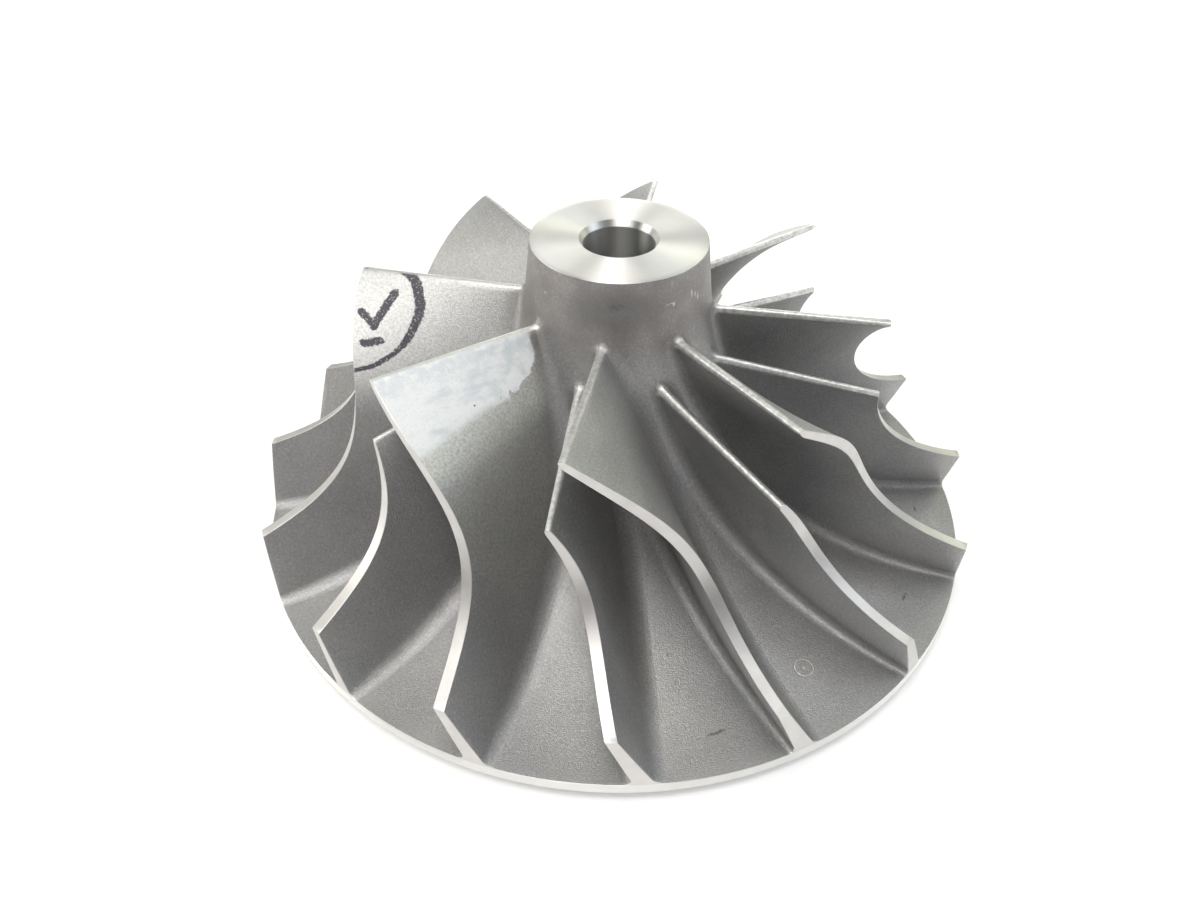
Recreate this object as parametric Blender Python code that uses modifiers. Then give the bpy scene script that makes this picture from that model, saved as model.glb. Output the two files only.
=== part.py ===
"""Compressor wheel of a turbocharger: one aluminium casting with machined faces.

The wheel stands on its rear boss, +Z runs along its shaft axis towards the nose,
and the origin is the centre of the boss's lower face. The hub is a turned solid.
Eight full blades and eight splitter blades stand on it. Each blade is a straight
line swept from a curve on the hub to a curve under the housing, so its root and
its tip lie on turned surfaces while the sheet between them twists.
"""

import math

import bmesh
import bpy
from mathutils import Vector

MM = 0.001

# Driving sizes of the turned hub, in metres. Heights without BOSS in their name
# are counted from the lower face of the disc, as a maker's drawing counts them.
RIM_RADIUS = 43.0 * MM
RIM_THICKNESS = 1.38 * MM
RIM_EDGE_BREAK = 0.25 * MM
NOSE_RADIUS = 9.65 * MM
NOSE_TOP_HEIGHT = 37.37 * MM
NOSE_EDGE_BREAK = 0.25 * MM
HUB_INLET_RADIUS = 10.43 * MM
HUB_INLET_HEIGHT = 30.28 * MM
BORE_RADIUS = 3.9 * MM
BORE_CHAMFER = 0.4 * MM
BOSS_RADIUS = 10.5 * MM
BOSS_HEIGHT = 1.2 * MM
BOSS_FILLET = 1.0 * MM

# Where the blades' outer edges start and end.
INLET_TIP_RADIUS = 29.73 * MM
INLET_TIP_HEIGHT = 30.45 * MM
EXIT_TIP_HEIGHT = 8.34 * MM

# How far each meridian curve runs on in its starting and in its last direction,
# as radius and height: the hub goes on from the nose's taper and bends out like a
# trumpet, and the tip curve follows the inside of the housing.
HUB_INLET_DROP = 13.26 * MM
HUB_EXIT_PULL = (-25.3 * MM, 0.17 * MM)
TIP_INLET_PULL = (0.92 * MM, -8.34 * MM)
TIP_EXIT_PULL = (-15.97 * MM, 4.45 * MM)

# Blades: how many, where the first one starts, and how far each edge has turned
# about the axis at the four control stations of its curve, in degrees.
BLADE_PAIRS = 8
FIRST_BLADE_ANGLE = 34.5
ROOT_WRAP = (0.0, 34.2, 35.7, 36.8)
TIP_WRAP = (-0.3, 28.7, 27.7, 32.3)
SPLITTER_ROOT_START = 0.12
SPLITTER_TIP_START = 0.326

# Blade thicknesses across the sheet.
INLET_ROOT_THICKNESS = 1.5 * MM
INLET_TIP_THICKNESS = 0.65 * MM
EXIT_ROOT_THICKNESS = 2.2 * MM
EXIT_TIP_THICKNESS = 1.15 * MM
LEADING_EDGE_LENGTH = 1.0 * MM
LEADING_EDGE_BLUNTNESS = 0.35

# Clear gap that separate solids keep.
SEAT_GAP = 0.3 * MM

# How finely the curves are cut into facets.
TURNED_STEPS = 72
HUB_STATIONS = 24
BLADE_STATIONS = 16
BLADE_ROWS = 4
FILLET_STATIONS = 4
MERGE_DISTANCE = 0.00001
SMOOTH_ANGLE = math.radians(30.0)

# Values that follow from the driving sizes.
DISC_BOTTOM = BOSS_HEIGHT
HUB_INLET = (HUB_INLET_RADIUS, DISC_BOTTOM + HUB_INLET_HEIGHT)
HUB_EXIT = (RIM_RADIUS, DISC_BOTTOM + RIM_THICKNESS)
TIP_INLET = (INLET_TIP_RADIUS, DISC_BOTTOM + INLET_TIP_HEIGHT)
TIP_EXIT = (RIM_RADIUS, DISC_BOTTOM + EXIT_TIP_HEIGHT)
NOSE_TOP = DISC_BOTTOM + NOSE_TOP_HEIGHT
NOSE_TAPER = (HUB_INLET_RADIUS - NOSE_RADIUS) / (NOSE_TOP_HEIGHT - HUB_INLET_HEIGHT)
HUB_INLET_PULL = (HUB_INLET_DROP * NOSE_TAPER, -HUB_INLET_DROP)
BLADE_SPACING = 360.0 / BLADE_PAIRS


def cubic(first, second, third, last, station):
    """Value of a cubic Bezier curve at a station from 0 to 1."""
    rest = 1.0 - station
    return (
        rest ** 3 * first
        + 3.0 * rest ** 2 * station * second
        + 3.0 * rest * station ** 2 * third
        + station ** 3 * last
    )


def cubic_slope(first, second, third, last, station):
    """Slope of the same curve with respect to the station."""
    rest = 1.0 - station
    return 3.0 * (
        rest ** 2 * (second - first)
        + 2.0 * rest * station * (third - second)
        + station ** 2 * (last - third)
    )


def meridian(start, start_pull, end, end_pull, station):
    """Point (radius, height) and direction of a meridian curve at a station."""
    point = []
    slope = []
    for axis in (0, 1):
        controls = (
            start[axis],
            start[axis] + start_pull[axis],
            end[axis] + end_pull[axis],
            end[axis],
        )
        point.append(cubic(*controls, station))
        slope.append(cubic_slope(*controls, station))
    return point, slope


def hub_meridian(station, clearance=0.0):
    """Hub surface as (radius, height), moved off the metal by a clearance."""
    point, slope = meridian(HUB_INLET, HUB_INLET_PULL, HUB_EXIT, HUB_EXIT_PULL, station)
    length = math.hypot(*slope)
    radius = point[0] - slope[1] / length * clearance
    height = point[1] + slope[0] / length * clearance
    return min(radius, RIM_RADIUS), height


def tip_meridian(station):
    """Outer edge of the blades as (radius, height)."""
    point, _ = meridian(TIP_INLET, TIP_INLET_PULL, TIP_EXIT, TIP_EXIT_PULL, station)
    return point[0], point[1]


def on_axis_circle(radius, height, angle):
    """Point at a radius, height and angle about the shaft axis."""
    return Vector((radius * math.cos(angle), radius * math.sin(angle), height))


def arc(centre, radius, start, end, count):
    """Points on an arc in the profile plane, with angles in degrees."""
    points = []
    for index in range(count + 1):
        angle = math.radians(start + (end - start) * index / count)
        points.append((centre[0] + radius * math.cos(angle), centre[1] + radius * math.sin(angle)))
    return points


def hub_profile():
    """Closed outline of the hub, from the top of the bore out and down its outer side."""
    profile = [
        (BORE_RADIUS + BORE_CHAMFER, NOSE_TOP),
        (NOSE_RADIUS - NOSE_EDGE_BREAK, NOSE_TOP),
        (NOSE_RADIUS, NOSE_TOP - NOSE_EDGE_BREAK),
    ]
    profile += [hub_meridian(index / HUB_STATIONS) for index in range(HUB_STATIONS + 1)]
    profile += [
        (RIM_RADIUS, DISC_BOTTOM + RIM_EDGE_BREAK),
        (RIM_RADIUS - RIM_EDGE_BREAK, DISC_BOTTOM),
    ]
    fillet_centre = (BOSS_RADIUS + BOSS_FILLET, DISC_BOTTOM - BOSS_FILLET)
    profile += arc(fillet_centre, BOSS_FILLET, 90.0, 180.0, FILLET_STATIONS)
    profile += [
        (BOSS_RADIUS, 0.0),
        (BORE_RADIUS + BORE_CHAMFER, 0.0),
        (BORE_RADIUS, BORE_CHAMFER),
        (BORE_RADIUS, NOSE_TOP - BORE_CHAMFER),
    ]
    return profile


def new_mesh_object(name, vertices, edges, faces, material, collection):
    """Object with a mesh of the given parts, in its collection."""
    mesh = bpy.data.meshes.new(name)
    mesh.from_pydata(vertices, edges, faces)
    mesh.materials.append(material)
    item = bpy.data.objects.new(name, mesh)
    collection.objects.link(item)
    return item


def make_material(name, colour, roughness, metallic):
    """Principled material with one colour, roughness and metallic value."""
    material = bpy.data.materials.new(name)
    material.use_nodes = True
    shader = material.node_tree.nodes["Principled BSDF"]
    shader.inputs["Base Color"].default_value = (*colour, 1.0)
    shader.inputs["Roughness"].default_value = roughness
    shader.inputs["Metallic"].default_value = metallic
    material.diffuse_color = (*colour, 1.0)
    return material


def make_hub(material, collection):
    """Turned hub: nose, flared body, disc and rear boss round one through bore."""
    profile = hub_profile()
    vertices = [(radius, 0.0, height) for radius, height in profile]
    edges = [(index, (index + 1) % len(profile)) for index in range(len(profile))]
    hub = new_mesh_object("hub", vertices, edges, [], material, collection)
    screw = hub.modifiers.new("turned", "SCREW")
    screw.axis = "Z"
    screw.angle = math.tau
    screw.steps = TURNED_STEPS
    screw.render_steps = TURNED_STEPS
    screw.use_merge_vertices = True
    screw.merge_threshold = MERGE_DISTANCE
    screw.use_smooth_shade = True
    return hub


def sheet_point(root_start, tip_start, along, across):
    """Point of a blade's middle sheet.

    along runs from the leading edge to the exit and across from root to tip.
    """
    root_station = root_start + (1.0 - root_start) * along
    tip_station = tip_start + (1.0 - tip_start) * along
    root_angle = math.radians(cubic(*ROOT_WRAP, root_station))
    tip_angle = math.radians(cubic(*TIP_WRAP, tip_station))
    root = on_axis_circle(*hub_meridian(root_station, SEAT_GAP), root_angle)
    tip = on_axis_circle(*tip_meridian(tip_station), tip_angle)
    return root.lerp(tip, across)


def sheet_lean(root_start, tip_start, along, across):
    """Part of the sheet's normal that points round the axis, from 0 to 1."""
    step = 0.001
    before = max(along - step, 0.0)
    after = min(along + step, 1.0)
    forward = sheet_point(root_start, tip_start, after, across)
    forward -= sheet_point(root_start, tip_start, before, across)
    outward = sheet_point(root_start, tip_start, along, 1.0)
    outward -= sheet_point(root_start, tip_start, along, 0.0)
    normal = forward.cross(outward).normalized()
    middle = sheet_point(root_start, tip_start, along, across)
    round_axis = Vector((-middle.y, middle.x, 0.0)).normalized()
    return abs(normal.dot(round_axis))


def blade_thickness(along, across, chord):
    """Thickness of the metal, thinner at the tip and rounded at the leading edge."""
    inlet = INLET_ROOT_THICKNESS + (INLET_TIP_THICKNESS - INLET_ROOT_THICKNESS) * across
    leaving = EXIT_ROOT_THICKNESS + (EXIT_TIP_THICKNESS - EXIT_ROOT_THICKNESS) * across
    thickness = inlet + (leaving - inlet) * along
    reach = min(along * chord / LEADING_EDGE_LENGTH, 1.0)
    rounding = math.sqrt(1.0 - (1.0 - reach) ** 2)
    return thickness * (LEADING_EDGE_BLUNTNESS + (1.0 - LEADING_EDGE_BLUNTNESS) * rounding)


def blade_stations(chord):
    """Stations along a blade: close together on the rounded leading edge, then even."""
    edge = LEADING_EDGE_LENGTH / chord
    stations = [0.0, edge * 0.25, edge]
    stations += [edge + (1.0 - edge) * index / BLADE_STATIONS for index in range(1, BLADE_STATIONS + 1)]
    return stations


def blade_side(root_start, tip_start, chord, side):
    """Grid of points on one side of a blade; side is 1 ahead of the sheet, -1 behind."""
    points = []
    for along in blade_stations(chord):
        for row in range(BLADE_ROWS):
            across = row / (BLADE_ROWS - 1)
            middle = sheet_point(root_start, tip_start, along, across)
            radius = math.hypot(middle.x, middle.y)
            lean = sheet_lean(root_start, tip_start, along, across)
            half_turn = blade_thickness(along, across, chord) / (2.0 * radius * lean)
            angle = math.atan2(middle.y, middle.x) + side * half_turn
            points.append(on_axis_circle(min(radius, RIM_RADIUS), middle.z, angle))
    return points


def blade_mesh(name, root_start, tip_start, material):
    """Closed mesh of one blade: two side grids joined by strips round their border."""
    chord = 0.0
    for index in range(BLADE_STATIONS):
        start = sheet_point(root_start, tip_start, index / BLADE_STATIONS, 0.5)
        end = sheet_point(root_start, tip_start, (index + 1) / BLADE_STATIONS, 0.5)
        chord += (end - start).length
    ahead = blade_side(root_start, tip_start, chord, 1.0)
    behind = blade_side(root_start, tip_start, chord, -1.0)
    stations = len(ahead) // BLADE_ROWS

    def corner(station, row, side):
        return station * BLADE_ROWS + row + side * len(ahead)

    faces = []
    for station in range(stations - 1):
        for row in range(BLADE_ROWS - 1):
            border = ((station, row), (station + 1, row), (station + 1, row + 1), (station, row + 1))
            faces.append([corner(*place, 0) for place in border])
            faces.append([corner(*place, 1) for place in reversed(border)])
        for row in (0, BLADE_ROWS - 1):
            faces.append([
                corner(station, row, 0),
                corner(station, row, 1),
                corner(station + 1, row, 1),
                corner(station + 1, row, 0),
            ])
    for row in range(BLADE_ROWS - 1):
        for station in (0, stations - 1):
            faces.append([
                corner(station, row, 0),
                corner(station, row + 1, 0),
                corner(station, row + 1, 1),
                corner(station, row, 1),
            ])

    shape = bmesh.new()
    vertices = [shape.verts.new(point) for point in ahead + behind]
    for face in faces:
        shape.faces.new([vertices[index] for index in face])
    bmesh.ops.recalc_face_normals(shape, faces=shape.faces)
    mesh = bpy.data.meshes.new(name)
    shape.to_mesh(mesh)
    shape.free()
    mesh.shade_smooth()
    mesh.set_sharp_from_angle(angle=SMOOTH_ANGLE)
    mesh.materials.append(material)
    return mesh


def place_blades(name, mesh, offset, wheel, collection):
    """Eight copies of one blade mesh, turned evenly round the axis."""
    for index in range(BLADE_PAIRS):
        blade = bpy.data.objects.new(f"{name}_{index + 1}", mesh)
        angle = FIRST_BLADE_ANGLE + BLADE_SPACING * (index + offset)
        blade.rotation_euler = (0.0, 0.0, math.radians(angle))
        blade.parent = wheel
        collection.objects.link(blade)


def clear_scene():
    """Empty the scene of the objects it opened with."""
    for item in list(bpy.data.objects):
        bpy.data.objects.remove(item, do_unlink=True)


def build():
    """Hub, full blades and splitter blades under one empty on the shaft axis."""
    clear_scene()
    collection = bpy.data.collections.new("compressor_wheel")
    bpy.context.scene.collection.children.link(collection)
    wheel = bpy.data.objects.new("compressor_wheel", None)
    collection.objects.link(wheel)

    hub_metal = make_material("hub_aluminium", (0.58, 0.58, 0.57), 0.45, 1.0)
    blade_metal = make_material("blade_aluminium", (0.60, 0.60, 0.58), 0.42, 1.0)
    splitter_metal = make_material("splitter_aluminium", (0.61, 0.61, 0.60), 0.42, 1.0)

    hub = make_hub(hub_metal, collection)
    hub.parent = wheel
    full = blade_mesh("full_blade", 0.0, 0.0, blade_metal)
    place_blades("full_blade", full, 0.0, wheel, collection)
    splitter = blade_mesh("splitter_blade", SPLITTER_ROOT_START, SPLITTER_TIP_START, splitter_metal)
    place_blades("splitter_blade", splitter, 0.5, wheel, collection)


build()
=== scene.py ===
"""Looks of a turbocharger's compressor wheel: blasted cast aluminium with turned faces.

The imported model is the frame. One finely made piece replaces each of its solids, in
the same place and at the same size: the hub, and each blade with the root fillets
that the real casting has. The finishes are a grainy blasted casting skin, bright
turned faces, a smear of pale paint on one blade and marker ink on another.
"""

from __future__ import annotations

import logging
import math
from dataclasses import dataclass
from enum import Enum
from typing import Callable, Sequence, Union

import bmesh
import bpy
import numpy as np
from mathutils import Matrix, Vector

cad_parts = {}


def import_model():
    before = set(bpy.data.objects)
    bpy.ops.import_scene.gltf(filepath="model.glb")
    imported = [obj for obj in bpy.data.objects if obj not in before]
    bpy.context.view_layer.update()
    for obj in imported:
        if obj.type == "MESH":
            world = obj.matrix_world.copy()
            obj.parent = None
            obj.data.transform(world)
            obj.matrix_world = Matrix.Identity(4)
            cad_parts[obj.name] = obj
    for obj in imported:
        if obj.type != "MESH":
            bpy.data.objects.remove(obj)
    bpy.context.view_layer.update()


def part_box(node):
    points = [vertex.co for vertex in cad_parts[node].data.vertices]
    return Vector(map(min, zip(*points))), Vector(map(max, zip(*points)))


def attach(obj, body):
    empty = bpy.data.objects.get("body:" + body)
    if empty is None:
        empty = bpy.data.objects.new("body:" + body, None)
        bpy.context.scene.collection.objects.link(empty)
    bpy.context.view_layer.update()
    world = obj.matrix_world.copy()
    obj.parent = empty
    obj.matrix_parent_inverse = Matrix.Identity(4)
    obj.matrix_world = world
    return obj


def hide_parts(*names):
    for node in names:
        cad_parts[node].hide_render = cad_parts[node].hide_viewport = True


LOG = logging.getLogger("compressor_wheel")

MM = 0.001
BODY = "root"
MERGE_DISTANCE = 1e-7
RIGHT_ANGLE = math.pi / 2.0
PAINTED_BLADE = 5
MARKED_BLADE = 4

Colour = tuple[float, float, float]
Span = tuple[float, float]
Piece = bpy.types.Object
Material = bpy.types.Material
Socket = bpy.types.NodeSocket
Number = Union[float, "Wire"]


class BladeKind(Enum):
    """The two kinds of blade, by the name of their nodes."""

    FULL = "full_blade"
    SPLITTER = "splitter_blade"


class Slot(Enum):
    """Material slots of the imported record."""

    HUB = "hub_aluminium"
    BLADE = "blade_aluminium"
    SPLITTER = "splitter_aluminium"


class Skin(Enum):
    """Which finish a face takes, as the number of its material on the mesh."""

    CAST = 0
    TURNED = 1


def cubic(controls: Sequence[float], station: np.ndarray) -> np.ndarray:
    """Works out a cubic Bezier curve.

    Args:
        controls: the four control values.
        station: stations, 0 at the first control value and 1 at the last.

    Returns:
        The curve's value at each station.
    """
    first, second, third, last = controls
    rest = 1.0 - station
    near_start = rest**3 * first + 3.0 * rest**2 * station * second
    return near_start + 3.0 * rest * station**2 * third + station**3 * last


def around_axis(radius: float, degrees: float, height: float) -> Vector:
    """Finds a point by its radius, its angle about the shaft axis and its height."""
    turn = math.radians(degrees)
    return Vector((radius * math.cos(turn), radius * math.sin(turn), height))


@dataclass(frozen=True)
class Meridian:
    """A curve in the plane of radius and height, which the wheel turns round its axis.

    Each pull is how far the curve runs on in its end's direction.
    """

    start: Span
    start_pull: Span
    end: Span
    end_pull: Span

    def at(self, station: np.ndarray) -> tuple[np.ndarray, np.ndarray]:
        """Finds points of the curve.

        Args:
            station: stations from 0 at the inlet to 1 at the exit.

        Returns:
            Radius and height at each station.
        """
        ends = zip(self.start, self.start_pull, self.end, self.end_pull)
        radius, height = (
            cubic((start, start + start_pull, end + end_pull, end), station)
            for start, start_pull, end, end_pull in ends
        )
        return radius, height


@dataclass
class WheelSizes:
    """Sizes of the whole wheel, as its solids have them.

    The rim's radius and the nose's height are read from the frame.
    """

    rim_radius: float
    nose_top: float
    rim_thickness: float = 1.38 * MM
    disc_bottom: float = 1.2 * MM
    nose_radius: float = 9.65 * MM
    hub_inlet_radius: float = 10.43 * MM
    hub_inlet_height: float = 31.48 * MM
    hub_inlet_drop: float = 13.26 * MM
    hub_exit_pull: Span = (-25.3 * MM, 0.17 * MM)
    tip_inlet: Span = (29.73 * MM, 31.65 * MM)
    tip_inlet_pull: Span = (0.92 * MM, -8.34 * MM)
    tip_exit_height: float = 9.54 * MM
    tip_exit_pull: Span = (-15.97 * MM, 4.45 * MM)
    bore_radius: float = 3.9 * MM
    bore_chamfer: float = 0.4 * MM
    boss_radius: float = 10.5 * MM
    boss_fillet: float = 1.0 * MM
    blade_pairs: int = 8
    first_blade_angle: float = 34.5

    @classmethod
    def from_frame(cls) -> WheelSizes:
        """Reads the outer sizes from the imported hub."""
        _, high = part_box("hub")
        return cls(rim_radius=high.x, nose_top=high.z)

    def rim_top(self) -> float:
        """Height of the disc's upper face at the rim."""
        return self.disc_bottom + self.rim_thickness

    def taper(self) -> float:
        """How much the nose's radius grows for each unit of drop."""
        return (self.hub_inlet_radius - self.nose_radius) / (self.nose_top - self.hub_inlet_height)

    def hub_curve(self) -> Meridian:
        """Gives the hub's flared surface, which goes on from the nose's taper."""
        return Meridian(
            start=(self.hub_inlet_radius, self.hub_inlet_height),
            start_pull=(self.hub_inlet_drop * self.taper(), -self.hub_inlet_drop),
            end=(self.rim_radius, self.rim_top()),
            end_pull=self.hub_exit_pull,
        )

    def tip_curve(self) -> Meridian:
        """Gives the blades' outer edges, which follow the inside of a housing."""
        return Meridian(
            start=self.tip_inlet,
            start_pull=self.tip_inlet_pull,
            end=(self.rim_radius, self.tip_exit_height),
            end_pull=self.tip_exit_pull,
        )


def deselect_all() -> None:
    """Clears the selection, which the frame's solids hold after loading."""
    for item in bpy.context.selected_objects:
        item.select_set(False)


def select_only(piece: Piece) -> None:
    """Selects one piece, and makes it the active one.

    Args:
        piece: the piece.
    """
    deselect_all()
    piece.select_set(True)
    bpy.context.view_layer.objects.active = piece


def open_shape(piece: Piece) -> tuple[bmesh.types.BMesh, object, object]:
    """Opens a piece in edit mode, with its layers for the number on a line and the level."""
    shape = bmesh.from_edit_mesh(piece.data)
    return shape, shape.verts.layers.int["spot"], shape.verts.layers.int["level"]


def start_ring(name: str, points: np.ndarray) -> Piece:
    """Starts a piece as a circle of vertices, moved onto a closed line.

    Args:
        name: the piece's name.
        points: the line's points, one row each.

    Returns:
        The new object, in edit mode with all of it selected. Its vertices carry
        their number on the line as "spot", and their level as "level".
    """
    deselect_all()
    bpy.ops.mesh.primitive_circle_add(vertices=len(points), fill_type="NOTHING")
    piece = bpy.context.object
    piece.name = piece.data.name = name
    bpy.ops.object.mode_set(mode="EDIT")
    shape = bmesh.from_edit_mesh(piece.data)
    spot = shape.verts.layers.int.new("spot")
    shape.verts.layers.int.new("level")
    shape.verts.ensure_lookup_table()
    for number, point in enumerate(points):
        shape.verts[number].co = point
        shape.verts[number][spot] = number
        shape.verts[number].select_set(True)
    bmesh.update_edit_mesh(piece.data)
    return piece


def extrude_ring(piece: Piece, points: np.ndarray, level: int) -> None:
    """Extrudes the selected ring and moves the new one onto the next line.

    Args:
        piece: an object in edit mode whose last ring is selected.
        points: the next line's points, in the first line's order.
        level: the new ring's number.
    """
    bpy.ops.mesh.extrude_edges_move()
    shape, spot, height = open_shape(piece)
    for vertex in shape.verts:
        if vertex.select:
            vertex.co = points[vertex[spot]]
            vertex[height] = level
    bmesh.update_edit_mesh(piece.data)


def merge_doubles() -> None:
    """Merges the vertices that lie on each other in the piece that is being edited."""
    bpy.ops.mesh.select_all(action="SELECT")
    bpy.ops.mesh.remove_doubles(threshold=MERGE_DISTANCE)


def finish_mesh(piece: Piece, smooth_angle: float) -> None:
    """Merges doubles, turns the faces outwards and shades the piece.

    Args:
        piece: an object in edit mode, whose mesh is closed.
        smooth_angle: edges sharper than this stay sharp, in degrees.
    """
    merge_doubles()
    bpy.ops.mesh.normals_make_consistent(inside=False)
    bpy.ops.object.mode_set(mode="OBJECT")
    select_only(piece)
    bpy.ops.object.shade_smooth_by_angle(angle=math.radians(smooth_angle))


@dataclass(frozen=True)
class Level:
    """A line round a blade at one height.

    rise is a height above the hub in radii of the root fillet, share how far the line
    then goes on towards the tip, and trim what a broken edge takes off each side.
    """

    rise: float
    share: float = 0.0
    trim: float = 0.0

    def flare(self) -> float:
        """How far the root fillet stands out on each side, in radii of the fillet."""
        rise = min(max(self.rise, 0.0), 1.0)
        return 1.0 - math.sqrt(2.0 * rise - rise**2)


@dataclass
class BladeForm:
    """The shape of one kind of blade, before it is turned to its place.

    The middle of the metal is a sheet of straight lines from the hub's curve to the
    tip curve. Wraps are the turns about the axis at a curve's control stations, in
    degrees. Places along the sheet run from 0 at the leading edge to 1 at the exit.
    full_by and exit_band are such places: where the metal is full, and how long the
    stretch before the exit is where its thickness is laid off round the axis. probe
    is the step that directions are measured over, and edge_share the part of the
    span that the tip's broken edge takes.
    """

    sizes: WheelSizes
    root_start: float = 0.0
    tip_start: float = 0.0
    root_wrap: tuple[float, ...] = (0.0, 34.2, 35.7, 36.8)
    tip_wrap: tuple[float, ...] = (-0.3, 28.7, 27.7, 32.3)
    inlet_root: float = 1.2 * MM
    inlet_tip: float = 0.75 * MM
    exit_root: float = 2.2 * MM
    exit_tip: float = 1.2 * MM
    full_by: float = 0.36
    exit_band: float = 0.1
    nose_reach: float = 0.9 * MM
    end_fillet: float = 0.85 * MM
    side_fillet: float = 1.8 * MM
    fillet_swell: float = 0.6
    sunk: float = 0.1
    edge_break: float = 0.04 * MM
    edge_share: float = 0.004
    nose_steps: int = 10
    side_steps: int = 90
    exit_steps: int = 3
    span_steps: int = 14
    fillet_steps: int = 8
    chord_steps: int = 199
    probe: float = 0.001

    def line_ends(self, along: np.ndarray) -> tuple[np.ndarray, np.ndarray]:
        """Finds the root and tip ends of the sheet's straight lines.

        Args:
            along: places from 0 at the leading edge to 1 at the exit.

        Returns:
            Root points and tip points, one row each.
        """
        ends = []
        for curve, start, wrap in (
            (self.sizes.hub_curve(), self.root_start, self.root_wrap),
            (self.sizes.tip_curve(), self.tip_start, self.tip_wrap),
        ):
            station = start + (1.0 - start) * along
            radius, height = curve.at(station)
            angle = np.radians(cubic(wrap, station))
            ends.append(np.stack([radius * np.cos(angle), radius * np.sin(angle), height], -1))
        return ends[0], ends[1]

    def fillet(self, along: np.ndarray) -> np.ndarray:
        """Radius of the root fillet, which is smaller at both ends than along the sides."""
        swell = np.sin(math.pi * np.clip(along, 0.0, 1.0)) ** self.fillet_swell
        return self.end_fillet + (self.side_fillet - self.end_fillet) * swell

    def span(self, along: np.ndarray) -> np.ndarray:
        """Length of the sheet's straight line at each place."""
        root, tip = self.line_ends(along)
        return np.linalg.norm(tip - root, axis=-1)

    def across(self, along: np.ndarray, level: Level) -> np.ndarray:
        """Finds how far up the sheet's lines a level lies.

        Args:
            along: places from 0 at the leading edge to 1 at the exit.
            level: the level.

        Returns:
            Places from 0 at the hub to 1 at the tip.
        """
        span = self.span(along)
        lift = level.rise * self.fillet(along)
        return (lift + level.share * (span - lift)) / span

    def middle(self, along: np.ndarray, level: Level) -> tuple[np.ndarray, np.ndarray, np.ndarray]:
        """Finds the sheet's middle line at a level.

        Args:
            along: places from 0 at the leading edge to 1 at the exit.
            level: the level.

        Returns:
            Radius, height and angle about the axis at each place.
        """
        root, tip = self.line_ends(along)
        point = root + self.across(along, level)[:, None] * (tip - root)
        return np.hypot(point[:, 0], point[:, 1]), point[:, 2], np.arctan2(point[:, 1], point[:, 0])

    def chord(self) -> float:
        """Length of the sheet's middle line at half height."""
        root, tip = self.line_ends(np.linspace(0.0, 1.0, self.chord_steps + 1))
        return float(np.linalg.norm(np.diff((root + tip) / 2.0, axis=0), axis=-1).sum())

    def thickness(self, along: np.ndarray, across: np.ndarray) -> np.ndarray:
        """Thickness of the metal, before its leading edge is rounded and its foot flares.

        It grows from the leading edge and is full about a third of the way along.

        Args:
            along: places from 0 at the leading edge to 1 at the exit.
            across: places from 0 at the hub to 1 at the tip.

        Returns:
            The thickness at each place.
        """
        inlet = self.inlet_root + (self.inlet_tip - self.inlet_root) * across
        leaving = self.exit_root + (self.exit_tip - self.exit_root) * across
        short = 1.0 - np.clip(along / self.full_by, 0.0, 1.0)
        return leaving + (inlet - leaving) * short**2

    def half_outline(self, level: Level) -> tuple[np.ndarray, np.ndarray]:
        """Walks a level's line from the leading edge to the middle of the exit face.

        Args:
            level: the level.

        Returns:
            Places along the chord, and the distances to the middle of the metal.
        """
        chord = self.chord()
        turn = np.linspace(0.0, RIGHT_ANGLE, self.nose_steps + 1)
        nose = self.nose_reach - (self.nose_reach + self.end_fillet * level.flare()) * np.cos(turn)
        side = np.linspace(self.nose_reach, chord - self.edge_break, self.side_steps + 1)[1:]
        leaving = np.full(self.exit_steps + 1, chord)
        along = np.concatenate([nose, side, leaving]) / chord
        half = self.thickness(along, self.across(along, level)) / 2.0 - level.trim
        half += self.fillet(along) * level.flare()
        half[-self.exit_steps - 1 :] -= self.edge_break
        inward = np.linspace(1.0, 0.0, self.exit_steps + 1)
        return along, half * np.concatenate([np.sin(turn), np.ones(self.side_steps), inward])

    def ring(self, level: Level) -> np.ndarray:
        """Works out a level's closed line round the blade.

        The metal's thickness is laid off square to the middle line, on the turned
        surface that the level lies on. Near the exit it is laid off round the axis,
        so that the exit face stays on the rim's cylinder.

        Args:
            level: the level.

        Returns:
            The line's points, up one side to the exit and back down the other.
        """
        along, half = self.half_outline(level)
        before = self.middle(along - self.probe, level)
        after = self.middle(along + self.probe, level)
        radius, _, angle = self.middle(along, level)
        climb = np.hypot(after[0] - before[0], after[1] - before[1])
        wrap = radius * (after[2] - before[2])
        length = np.hypot(climb, wrap)
        lean, straight = wrap / length, climb / length
        fade = np.clip((1.0 - along) / self.exit_band, 0.0, 1.0)
        halves = []
        for side in (1.0, -1.0):
            slide = side * half * lean * fade / climb * 2.0 * self.probe
            away, height, _ = self.middle(along - slide, level)
            away = np.where(along >= 1.0, self.sizes.rim_radius, away)
            away = np.minimum(away, self.sizes.rim_radius + min(level.rise, 0.0) * self.end_fillet)
            turn = angle + side * half * (straight + (1.0 - fade) * lean**2 / straight) / radius
            halves.append(np.stack([away * np.cos(turn), away * np.sin(turn), height], -1))
        return np.concatenate([halves[0], halves[1][-2:0:-1]])

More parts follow.
